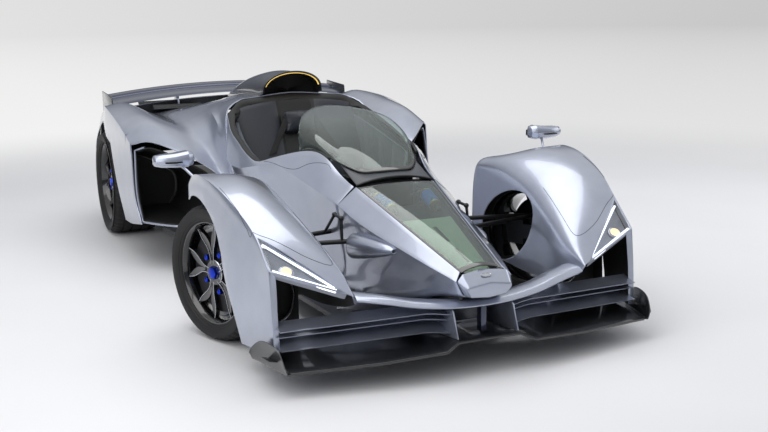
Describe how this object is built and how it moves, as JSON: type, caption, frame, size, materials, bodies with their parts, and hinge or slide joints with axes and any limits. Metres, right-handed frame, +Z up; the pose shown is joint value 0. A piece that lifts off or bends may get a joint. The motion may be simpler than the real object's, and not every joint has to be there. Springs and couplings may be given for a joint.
{
  "type": "open two-seat mid-engined speedster",
  "caption": "Open-cockpit two-seat speedster with tandem seats, low wraparound screen, pod front wings, visible inboard front dampers, roof scoop and rear wing",
  "frame": {"origin": "middle of the car on the ground", "axes": "x to the car's left, y to its rear, z up"},
  "size_m": [2.327, 4.537, 1.179],
  "materials": {
    "silver_paint": "metallic paint",
    "carbon": "satin woven composite",
    "screen_glass": "clear",
    "lamp_glass": "clear",
    "lamp_red": "clear lens",
    "lamp_amber": "light guide",
    "tub_lining": "fine weave",
    "seat_leather": "matte",
    "wheel_rubber": "grained",
    "spring_blue": "gloss",
    "arm_steel": "satin black",
    "pipe_steel": "heat tinted",
    "engine_alloy": "cast",
    "tyre": "matte",
    "rim_alloy": "dark with machined edges"
  },
  "bodies": {
    "car": {"floor_pan": "carbon", "jack_pads": "carbon", "nose_shell": "silver_paint", "nose_cap": "silver_paint", "nose_window": "screen_glass", "damper_bay": "tub_lining", "front_dampers": "spring_blue", "scuttle": "carbon", "windscreen": "screen_glass", "cockpit_rim": "carbon", "cockpit_tub": "tub_lining", "side_skins": "silver_paint", "rear_clam": "silver_paint", "scoop": "carbon", "scoop_lamp": "lamp_amber", "intake_ducts": "carbon", "tail": "carbon", "tail_lamps": "lamp_red", "diffuser": "carbon", "exhausts": "pipe_steel", "rear_wing": "silver_paint", "wing_mounts": "silver_paint", "front_wing": "silver_paint", "vanes": "silver_paint", "centre_fins": "silver_paint", "splitter": "carbon", "front_pods": "silver_paint", "headlights": "lamp_glass", "mirrors": "silver_paint", "front_arms": "arm_steel", "rear_arms": "arm_steel", "seats": "seat_leather", "dash": "carbon", "engine_block": "engine_alloy"},
    "knuckle_left_body": {"knuckle_left": "arm_steel"},
    "knuckle_right_body": {"knuckle_right": "arm_steel"},
    "wheel_front_left": {"tyre_front_left": "tyre", "rim_front_left": "rim_alloy"},
    "wheel_front_right": {"tyre_front_right": "tyre", "rim_front_right": "rim_alloy"},
    "wheel_rear_left": {"tyre_rear_left": "tyre", "rim_rear_left": "rim_alloy"},
    "wheel_rear_right": {"tyre_rear_right": "tyre", "rim_rear_right": "rim_alloy"},
    "steering_wheel_body": {"steering_wheel": "wheel_rubber"}
  },
  "joints": [
    {"name": "steer_left", "type": "hinge", "parent": "car", "child": "knuckle_left_body", "pos_m": [0.874, -1.1835, 0.336], "axis": [0, 0, 1], "range_deg": [-39, 1]},
    {"name": "steer_right", "type": "hinge", "parent": "car", "child": "knuckle_right_body", "pos_m": [-0.874, -1.1835, 0.336], "axis": [0, 0, 1], "range_deg": [-39, 1]},
    {"name": "steering_wheel_turn", "type": "hinge", "parent": "car", "child": "steering_wheel_body", "pos_m": [0, -0.8535, 0.6], "axis": [0, 0.9272, 0.3746], "range_deg": [-314, 10]},
    {"name": "spin_front_left", "type": "hinge", "parent": "knuckle_left_body", "child": "wheel_front_left", "pos_m": [0.874, -1.1835, 0.336], "axis": [0.9455, 0.3256, 0], "continuous": true},
    {"name": "spin_front_right", "type": "hinge", "parent": "knuckle_right_body", "child": "wheel_front_right", "pos_m": [-0.874, -1.1835, 0.336], "axis": [0.9455, 0.3256, 0], "continuous": true},
    {"name": "spin_rear_left", "type": "hinge", "parent": "car", "child": "wheel_rear_left", "pos_m": [0.82, 1.5685, 0.359], "axis": [1, 0, 0], "continuous": true},
    {"name": "spin_rear_right", "type": "hinge", "parent": "car", "child": "wheel_rear_right", "pos_m": [-0.82, 1.5685, 0.359], "axis": [1, 0, 0], "continuous": true}
  ],
  "couplings": [
    {"joint": "steer_right", "follows": "steer_left", "ratio": 1},
    {"joint": "steering_wheel_turn", "follows": "steer_left", "ratio": 8}
  ]
}
